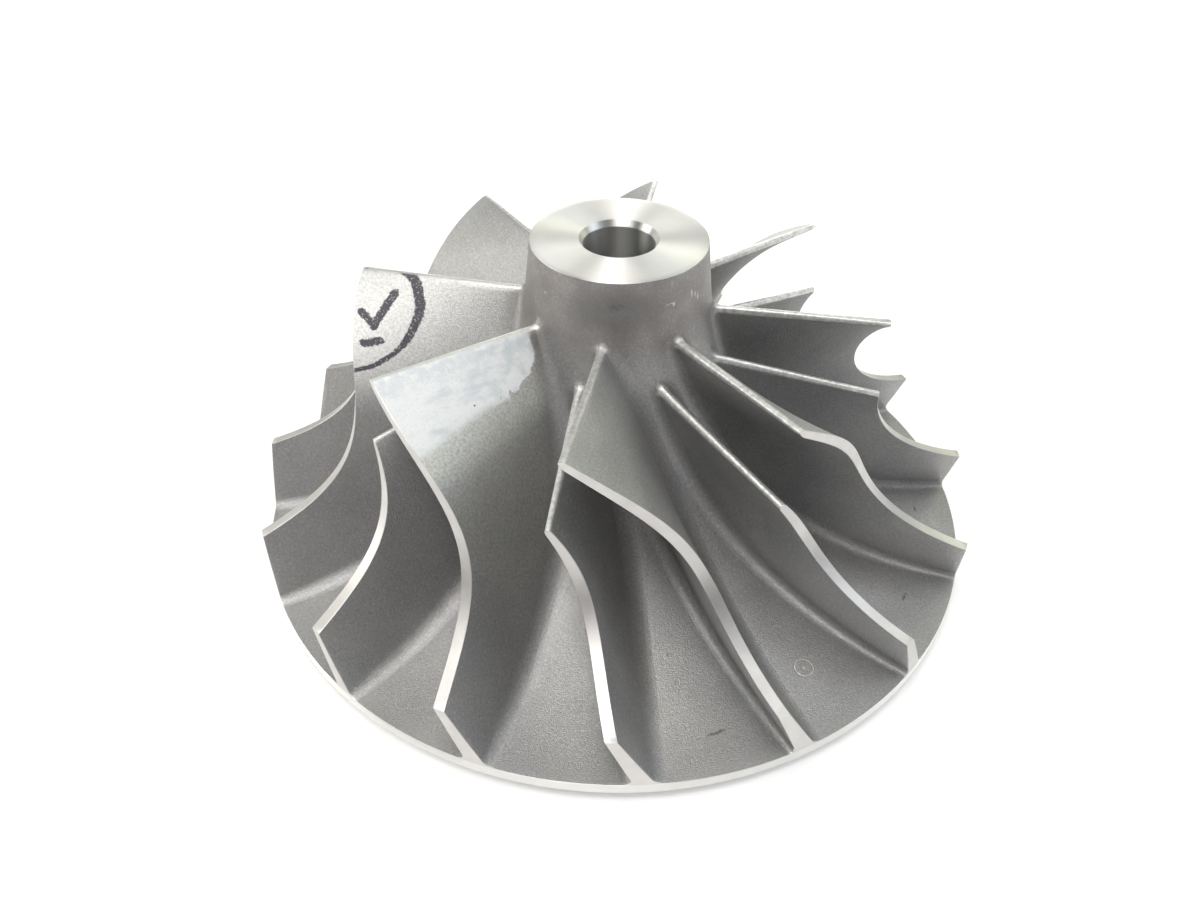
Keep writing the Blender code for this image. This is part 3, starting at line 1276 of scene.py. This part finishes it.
@dataclass(frozen=True)
class PaintSmear:
    """The casting skin with a smear of chalky paint beside the leading edge.

    The smear runs from the leading edge to a slanting line, where it fades out at
    the tip and breaks into a crust near the hub. It stops short of the hub. The bare
    skin up to a little past the slanting line is lightened as a painted sheen, and the
    front side near the leading edge is lightened less, also a painted sheen.
    A span holds the places on the blade where something starts and where it is full.
    """

    skin: CastSkin = CastSkin()
    paint: Colour = (0.94, 0.965, 0.965)
    chalky: float = 0.25
    thickness: float = 0.03 * MM
    reach_at_tip: float = 8.9 * MM
    slant: float = 0.27
    fade: Span = (-0.8 * MM, 0.5 * MM)
    fade_shake: Shake = Shake(0.3 * MM, 2.0, 0.6 * MM)
    crust: float = 0.45 * MM
    crust_edge: Span = (-0.05 * MM, 0.12 * MM)
    crust_span: Span = (9.0 * MM, 12.5 * MM)
    crumbs: Shake = Shake(0.75 * MM, 3.0, 3.2 * MM)
    root_gap: float = 17.6 * MM
    root_flat: float = 2.5 * MM
    root_round: float = 350.0
    root_edge: Span = (-0.15 * MM, 0.25 * MM)
    root_crumbs: Span = (1.5 * MM, 5.0 * MM)
    front: Span = (0.0, 0.2 * MM)
    bare_edge: Span = (0.275 * MM, 0.365 * MM)
    chips: Shake = Shake(0.3 * MM, 2.0, 0.25 * MM)
    thin: Colour = (0.60, 0.645, 0.705)
    streak_size: Span = (1.1 * MM, 3.5 * MM)
    streak_detail: float = 4.0
    streak_span: Span = (0.40, 0.70)
    clouds: Patches = Patches(3.2 * MM, 3.0, 0.38, 0.62, 0.5, 0.08)
    thin_edge: Span = (3.6 * MM, 0.5 * MM)
    thin_patches: Patches = Patches(0.8 * MM, 3.0, 0.3, 0.6, 0.45)
    haze: Patches = Patches(0.2 * MM, 1.0, 0.5, 0.75, 0.3)
    foamy: Colour = (0.68, 0.75, 0.76)
    foam: Patches = Patches(1.5 * MM, 3.0, 0.44, 0.62, 0.7)
    foam_span: Span = (8.5 * MM, 13.0 * MM)
    dot: Colour = (0.05, 0.05, 0.05)
    dot_place: Span = (5.7 * MM, 8.6 * MM)
    dot_edge: Span = (0.13 * MM, 0.065 * MM)
    # Painted sheen: the bare skin up to a little past the slanting line, and near the leading edge,
    # is lightened.
    wear_and_sheen: Colour = (0.84, 0.845, 0.79)
    slant_sheen_span: Span = (-7.5 * MM, -1.8 * MM)
    smear_sheen_patches: Patches = Patches(0.26 * MM, 2.0, 0.3, 0.7, 0.5, 0.55)
    sheen_span: Span = (34.0 * MM, 23.8 * MM)
    sheen_share: float = 0.4

    def inside(self, place: Place) -> Wire:
        """How far a place is inside the slanting line, and less than 0 past it."""
        return self.reach_at_tip - place[2] * self.slant - place[0]

    def cover(self, graph: Graph, place: Place) -> Wire:
        """Finds where the paint lies.

        Args:
            graph: the material's nodes.
            place: the place on the blade.

        Returns:
            The paint's cover, from 0 to 1.
        """
        from_edge, side, from_tip = place
        inside = self.inside(place)
        crumbs = self.crumbs.offset(graph)
        faded = (inside + self.fade_shake.offset(graph)).step(*self.fade)
        crusty = (inside + self.crust + crumbs).step(*self.crust_edge)
        slanting = faded + (crusty - faded) * from_tip.step(*self.crust_span)
        past = (from_edge - self.root_flat).most(0.0)
        root = self.root_gap - past * past * self.root_round - from_tip
        root = (root + crumbs * from_edge.step(*self.root_crumbs)).step(*self.root_edge)
        bare = (from_edge - self.chips.offset(graph)).step(*self.bare_edge)
        return slanting * root * side.step(*self.front) * bare

    def coat(self, graph: Graph, place: Place) -> Socket:
        """Mixes the paint's colour, which is streaky, thin in places and foamy near the hub.

        Args:
            graph: the material's nodes.
            place: the place on the blade.

        Returns:
            The colour.
        """
        from_edge, _, from_tip = place
        streaks = graph.sheet_noise(*self.streak_size, self.streak_detail).step(*self.streak_span)
        thin_edge = from_edge.step(*self.thin_edge) * self.thin_patches.mask(graph)
        to_dot = graph.length(from_edge - self.dot_place[0], from_tip - self.dot_place[1])
        return graph.coats(
            self.paint,
            ((streaks * self.clouds.mask(graph)).most(thin_edge), self.thin),
            (self.foam.mask(graph) * from_tip.step(*self.foam_span), self.foamy),
            (self.haze.mask(graph), self.thin),
            (to_dot.step(*self.dot_edge), self.dot),
        )

    def bare_skin(self, graph: Graph, place: Place, colour: Socket) -> Socket:
        """Lightens the bare skin with a painted sheen, fully up to a little past the slanting line
        and partly near the leading edge.

        Args:
            graph: the material's nodes.
            place: the place on the blade.
            colour: the skin's colour.

        Returns:
            The brightened colour.
        """
        wear_and_sheen = self.inside(place).step(*self.slant_sheen_span)
        wear_and_sheen = wear_and_sheen.most(place[0].step(*self.sheen_span) * self.sheen_share)
        wear_and_sheen = wear_and_sheen * place[1].step(*self.skin.sheen_root) * self.smear_sheen_patches.mask(graph)
        return graph.mix(wear_and_sheen, colour, self.wear_and_sheen)

    def material(self, name: str) -> Material:
        """Makes the skin with its paint.

        Args:
            name: the material's name.

        Returns:
            The material.
        """
        graph = Graph(name)
        sockets = self.skin.blade_surface(graph)
        place = graph.sheet_place()
        cover = self.cover(graph, place)
        # The bare skin with its painted sheen.
        skin = self.bare_skin(graph, place, sockets["Base Color"])
        sockets["Base Color"] = graph.mix(cover, skin, self.coat(graph, place))
        sockets["Metallic"] = (1.0 - cover) * self.skin.metallic
        sockets["Roughness"] = sockets["Roughness"] + cover * self.chalky
        sockets["Normal"] = graph.bump(cover, self.thickness, sockets["Normal"])
        return graph.finish(sockets)


@dataclass(frozen=True)
class MarkerInk:
    """The casting skin with an inspector's tick and ring in black marker.

    Places are a distance from the leading edge and a distance from the tip. The
    ring is an oval that the blade's own edges cut, and its stroke is fine at its far
    end. The skin round the marks is lightened, a painted sheen. A span holds the
    places where something starts and where it is full.
    """

    skin: CastSkin = CastSkin()
    ink: Colour = (0.052, 0.047, 0.064)
    opaque: float = 0.95
    metal_hidden: float = 0.7
    dry: Patches = Patches(0.24 * MM, 3.0, 0.54, 0.74, -0.65, 1.0)
    front: Span = (-0.1 * MM, 0.1 * MM)
    # Painted sheen: the skin round the marks is lightened.
    painted_sheen: Colour = (0.70, 0.70, 0.687)
    sheen_span: Span = (20.0 * MM, 10.0 * MM)
    ink_sheen_patches: Patches = Patches(0.26 * MM, 2.0, 0.3, 0.7, 0.5, 0.5)
    ring_centre: Span = (6.7 * MM, -0.85 * MM)
    ring_radii: Span = (5.75 * MM, 9.2 * MM)
    ring_turn: float = 35.0
    ring_span: Span = (0.15 * MM, 0.5 * MM)
    fine_width: float = 0.36 * MM
    broad_width: float = 0.52 * MM
    broad_span: Span = (9.5 * MM, 7.0 * MM)
    stroke_width: float = 0.486 * MM
    strokes: tuple[tuple[Span, Span], ...] = (
        ((5.15 * MM, 0.94 * MM), (6.76 * MM, 2.26 * MM)),
        ((6.76 * MM, 2.26 * MM), (2.6 * MM, 4.4 * MM)),
        ((9.01 * MM, 1.17 * MM), (8.28 * MM, 3.14 * MM)),
    )
    soft_edge: Span = (-0.06 * MM, 0.10 * MM)
    wobble: Shake = Shake(2.6 * MM, 1.0, 0.6 * MM)
    ragged: Shake = Shake(0.35 * MM, 2.0, 0.45 * MM)

    def ring(self, graph: Graph, east: Wire, north: Wire) -> Wire:
        """Distance from the oval's line.

        Args:
            graph: the material's nodes.
            east: distance from the leading edge.
            north: distance from the tip.

        Returns:
            The distance.
        """
        turn = math.radians(self.ring_turn)
        away_east, away_north = east - self.ring_centre[0], north - self.ring_centre[1]
        short = (away_east * math.cos(turn) + away_north * math.sin(turn)) / self.ring_radii[0]
        long = (away_north * math.cos(turn) - away_east * math.sin(turn)) / self.ring_radii[1]
        away = (graph.length(short, long) - 1.0).magnitude()
        return away * math.sqrt(self.ring_radii[0] * self.ring_radii[1])

    def pen(self, graph: Graph, from_edge: Wire, from_tip: Wire) -> Wire:
        """Draws the ring and the strokes.

        Args:
            graph: the material's nodes.
            from_edge: distance from the leading edge.
            from_tip: distance from the tip.

        Returns:
            A mask that is 1 under the pen.
        """
        shake, ragged = self.wobble.offset(graph), self.ragged.offset(graph)
        east, north = from_edge + shake, from_tip - shake
        broader = from_edge.step(*self.broad_span) * (self.broad_width - self.fine_width)
        inside = broader + self.fine_width - self.ring(graph, east, north) - ragged
        pen = inside.step(*self.soft_edge) * from_edge.step(*self.ring_span)
        for start, end in self.strokes:
            line = graph.stroke((east, north), start, end) + ragged
            pen = pen.most((self.stroke_width - line).step(*self.soft_edge))
        return pen

    def material(self, name: str) -> Material:
        """Makes the skin with its marks.

        Args:
            name: the material's name.

        Returns:
            The material.
        """
        graph = Graph(name)
        sockets = self.skin.blade_surface(graph)
        from_edge, side, from_tip = graph.sheet_place()
        # Painted sheen round the marks.
        painted_sheen = from_edge.step(*self.sheen_span) * side.step(*self.skin.sheen_root)
        pen = self.pen(graph, from_edge, from_tip) * side.step(*self.front)
        cover = pen * self.dry.mask(graph) * self.opaque
        sockets["Base Color"] = graph.coats(
            sockets["Base Color"],
            (painted_sheen * self.ink_sheen_patches.mask(graph), self.painted_sheen),
            (cover, self.ink),
        )
        sockets["Metallic"] = (1.0 - cover * self.metal_hidden) * self.skin.metallic
        return graph.finish(sockets)


@dataclass(frozen=True)
class TurnedSkin:
    """Face turned on a lathe: bright, with fine rings round the axis.

    spread is how much further the gloss spreads across the rings than along them.
    Fine rings and wide ones each have a pitch, and wide_share is how much of the
    depth the wide ones have. bore_shade_span is where the painted shade inside the
    bore starts and where it is full, as distances from the axis.
    """

    bright: Colour
    darker_tone: Colour
    roughness: float
    depth: float
    spread: float = 0.0
    spread_turn: float = 0.25
    patches: Patches = Patches(2.5 * MM, 3.0, 0.35, 0.7)
    stain: Colour = (0.32, 0.27, 0.23)
    stains: Specks = Specks(1.9 * MM, 0.09 * MM, 0.06)
    stain_share: float = 0.6
    fine_pitch: float = 0.13 * MM
    wide_pitch: float = 0.611 * MM
    wide_share: float = 0.1
    wide_gloss: float = 0.012
    # Painted shade inside the bore.
    bore_shade: Colour = (0.58, 0.58, 0.57)
    bore_shade_span: Span = (3.9585 * MM, 3.9195 * MM)

    def rings(self, walk: Wire, pitch: float) -> Wire:
        """Rings from 0 to 1, a pitch apart along a walk."""
        return walk.graph.maths("SINE", walk * (math.tau / pitch), 0.0) * 0.5 + 0.5

    def material(self, name: str) -> Material:
        """Makes the turned face.

        Args:
            name: the material's name.

        Returns:
            The material.
        """
        graph = Graph(name)
        _, _, height = graph.parts(graph.place)
        radius = graph.axis_radius()
        fine = self.rings(radius - height, self.fine_pitch)
        wide = self.rings(radius - height, self.wide_pitch)
        colour = graph.coats(
            self.darker_tone,
            (self.patches.mask(graph), self.bright),
            (self.stains.mask(graph) * self.stain_share, self.stain),
            # Painted shade inside the bore.
            (radius.step(*self.bore_shade_span), self.bore_shade),
        )
        grooves = fine * (1.0 - self.wide_share) + wide * self.wide_share
        sockets = {
            "Base Color": colour,
            "Roughness": self.roughness + wide * self.wide_gloss,
            "Normal": graph.bump(grooves, self.depth),
            "Metallic": 1.0,
            "Anisotropic": self.spread,
            "Anisotropic Rotation": self.spread_turn,
        }
        return graph.finish(sockets)


TURNED_EDGE = TurnedSkin(
    bright=(0.73, 0.712, 0.695), darker_tone=(0.67, 0.655, 0.645), roughness=0.46, depth=0.004 * MM
)
TURNED_FACE = TurnedSkin(
    bright=(0.91, 0.91, 0.89),
    darker_tone=(0.88, 0.878, 0.855),
    roughness=0.40,
    depth=0.0004 * MM,
    spread=0.88,
)


@dataclass(frozen=True)
class Panel:
    """A soft square light: its direction from the wheel in degrees, and its power in watts."""

    name: str
    azimuth: float
    elevation: float
    power: float
    tint: Colour
    size: float = 0.40
    distance: float = 0.85

    def hang(self, aim: Vector) -> None:
        """Hangs the light so that it faces a point.

        Args:
            aim: the point.
        """
        rise = math.radians(self.elevation)
        away = around_axis(math.cos(rise), self.azimuth, math.sin(rise))
        data = bpy.data.lights.new(self.name, "AREA")
        data.size = self.size
        data.energy = self.power
        data.color = self.tint
        light = bpy.data.objects.new(self.name, data)
        bpy.context.scene.collection.objects.link(light)
        light.location = aim + away * self.distance
        light.rotation_euler = (-away).to_track_quat("-Z", "Y").to_euler()


@dataclass
class Studio:
    """Pale floor, soft lights and the camera at the photograph's place.

    The camera's pitch and turn are in radians, and its distance and the point that it
    aims at in rim radii. The floor glows near the wheel and more far from it.
    """

    pitch: float = 0.6917
    turn: float = 0.0105
    distance: float = 2.9277
    aim_side: float = -0.0424
    aim_height: float = 0.1833
    focal_pixels: float = 1001.4
    picture_width: float = 1200.0
    sensor: float = 36.0
    nearest: float = 0.005
    floor_tone: Colour = (0.93, 0.93, 0.935)
    floor_roughness: float = 0.9
    room_radius: float = 3.0
    room_tone: Colour = (0.98, 0.99, 1.0)
    room_light: float = 0.02
    lit_span: Span = (0.38, 0.76)
    near_glow: float = 0.15
    far_glow: float = 0.93
    dome_segments: int = 64
    dome_rings: int = 32
    panels: tuple[Panel, ...] = (
        Panel("top_light", 0.0, 90.0, 1.21, (1.0, 0.94, 0.865)),
        Panel("right_low_light", 0.0, 10.0, 0.37, (0.91, 0.96, 1.0)),
        Panel("right_middle_light", 0.0, 30.0, 0.55, (0.895, 0.93, 1.0)),
        Panel("right_light", 0.0, 50.0, 1.09, (0.89, 0.957, 1.0)),
        Panel("right_back_light", 45.0, 30.0, 1.04, (0.968, 1.0, 0.794)),
        Panel("right_top_light", 60.0, 70.0, 0.17, (1.0, 0.995, 0.977)),
        Panel("back_low_light", 90.0, 10.0, 1.76, (0.988, 1.0, 0.94)),
        Panel("back_light", 90.0, 30.0, 0.21, (1.0, 0.955, 0.917)),
        Panel("back_top_light", 120.0, 70.0, 0.23, (1.0, 0.98, 0.975)),
        Panel("left_back_light", 135.0, 30.0, 0.71, (0.994, 1.0, 0.967)),
        Panel("left_low_light", 180.0, 10.0, 0.79, (1.0, 0.98, 0.964)),
        Panel("left_light", 180.0, 30.0, 1.93, (1.0, 0.986, 0.904)),
        Panel("front_top_light", 240.0, 70.0, 2.98, (0.992, 1.0, 0.98)),
        Panel("front_light", 270.0, 50.0, 1.00, (1.0, 0.932, 0.93)),
    )

    def camera(self, sizes: WheelSizes) -> None:
        """Puts the camera where the photograph was taken from.

        Its place is measured from the centre of the disc's lower face.

        Args:
            sizes: the wheel's sizes.
        """
        unit = sizes.rim_radius
        data = bpy.data.cameras.new("photo_camera")
        data.sensor_width = self.sensor
        data.lens = self.focal_pixels / self.picture_width * self.sensor
        data.clip_start = self.nearest
        camera = bpy.data.objects.new("photo_camera", data)
        bpy.context.scene.collection.objects.link(camera)
        back = Vector((0.0, -math.cos(self.pitch), math.sin(self.pitch))) * self.distance
        aim = Vector((self.aim_side, 0.0, self.aim_height)) * unit
        place = aim + back * unit + Vector((0.0, 0.0, sizes.disc_bottom))
        tilt = Matrix.Rotation(RIGHT_ANGLE - self.pitch, 4, "X")
        roll = Matrix.Rotation(self.turn, 4, "Z")
        camera.matrix_world = Matrix.Translation(place) @ tilt @ roll
        bpy.context.scene.camera = camera

    def floor(self) -> None:
        """Lays the pale floor, which glows more far away, where the lights don't reach."""
        deselect_all()
        bpy.ops.mesh.primitive_plane_add(size=2.0 * self.room_radius, location=(0.0, 0.0, 0.0))
        floor = bpy.context.object
        floor.name = "floor"
        graph = Graph("floor_white")
        far = graph.axis_radius().step(*self.lit_span)
        sockets = {
            "Base Color": graph.colour(self.floor_tone),
            "Roughness": self.floor_roughness,
            "Emission Color": graph.mix(far, (self.near_glow,) * 3, (self.far_glow,) * 3),
            "Emission Strength": 1.0,
        }
        floor.data.materials.append(graph.finish(sockets))

    def backdrop(self) -> None:
        """Puts a pale dome behind low views, which lights nothing and shows in no reflection."""
        deselect_all()
        bpy.ops.mesh.primitive_uv_sphere_add(
            segments=self.dome_segments, ring_count=self.dome_rings, radius=self.room_radius
        )
        dome = bpy.context.object
        dome.name = "backdrop"
        sockets = {
            "Base Color": (0.0, 0.0, 0.0, 1.0),
            "Specular IOR Level": 0.0,
            "Emission Color": (self.far_glow,) * 3 + (1.0,),
            "Emission Strength": 1.0,
        }
        dome.data.materials.append(Graph("backdrop_white").finish(sockets))
        dome.visible_diffuse = dome.visible_glossy = dome.visible_shadow = False
        dome.visible_transmission = dome.visible_volume_scatter = False

    def build(self, sizes: WheelSizes) -> None:
        """Makes the camera, the floor, the backdrop, the lights and the room's own faint light.

        Args:
            sizes: the wheel's sizes.
        """
        self.camera(sizes)
        self.floor()
        self.backdrop()
        for panel in self.panels:
            panel.hang(Vector((0.0, 0.0, sizes.nose_top / 2.0)))
        world = bpy.data.worlds.new("room")
        world.use_nodes = True
        glow = world.node_tree.nodes["Background"].inputs
        glow["Color"].default_value = Graph.colour(self.room_tone)
        glow["Strength"].default_value = self.room_light
        bpy.context.scene.world = world
        bpy.context.scene.view_settings.view_transform = "Standard"


def corners(box: tuple[Vector, Vector]) -> list[list[float]]:
    """A box as plain lists of numbers."""
    return [list(box[0]), list(box[1])]


def main() -> None:
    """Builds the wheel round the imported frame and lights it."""
    logging.basicConfig(level=logging.INFO, format="%(name)s: %(message)s")
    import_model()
    sizes = WheelSizes.from_frame()
    cast = CastSkin().material("cast_aluminium")
    turned_edge = TURNED_EDGE.material("turned_edge")
    marked = {
        PAINTED_BLADE: PaintSmear().material("cast_aluminium_with_paint"),
        MARKED_BLADE: MarkerInk().material("cast_aluminium_with_marker"),
    }
    turned_face = TURNED_FACE.material("turned_face")
    Hub(sizes).build((HubSkin().material("cast_hub"), turned_face))
    full = BladeMaker(BladeKind.FULL, BladeForm(sizes), Slot.BLADE)
    full.build(lambda number: (marked.get(number, cast), turned_edge))
    splitter_form = BladeForm(sizes, root_start=0.12, tip_start=0.326)
    splitter = BladeMaker(BladeKind.SPLITTER, splitter_form, Slot.SPLITTER, offset=0.5)
    splitter.build(lambda number: (cast, turned_edge))
    Studio().build(sizes)


if __name__ == "__main__":
    main()
